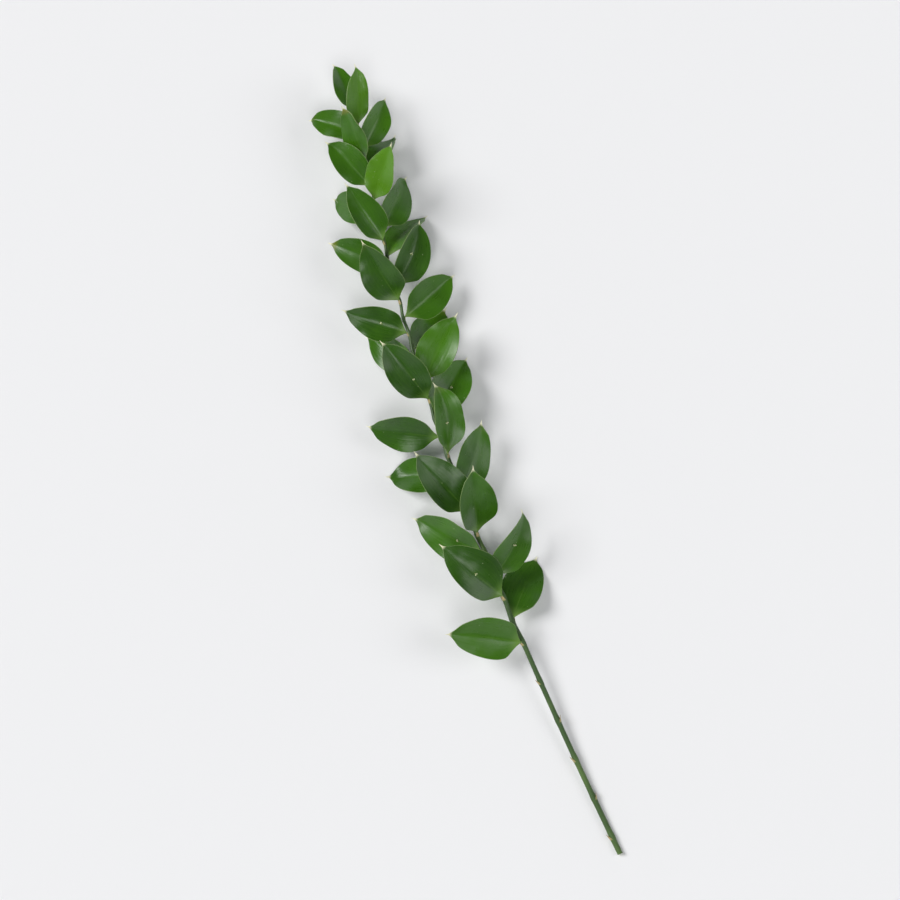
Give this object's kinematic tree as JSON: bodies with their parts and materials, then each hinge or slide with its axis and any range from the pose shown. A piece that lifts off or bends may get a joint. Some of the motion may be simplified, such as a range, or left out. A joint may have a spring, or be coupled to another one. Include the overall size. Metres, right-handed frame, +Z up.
{
  "type": "ruscus stem",
  "caption": "Cut stem of fresh broad-leaved ruscus lying down: a slender green stem with broad, pointed, waved leaves on both sides and small papery scale leaves.",
  "frame": {"origin": "middle of the stem's footprint on the surface that it lies on", "axes": "+X runs from the cut end to the leafy tip, +Y to the left of that, +Z up from the surface"},
  "size_m": [0.7047, 0.1158, 0.0699],
  "materials": {
    "leaf": "fresh deep green leaf, half glossy and leathery, with fine lengthwise veins and a paler matte underside",
    "stem": "fresh green stem, satin, finely ridged lengthwise",
    "scale": "dry papery straw colour, of the scale leaves",
    "bud": "pale yellow-green flower bud, matte"
  },
  "bodies": {
    "root": {"leafy_stem": "leaf"}
  },
  "joints": []
}
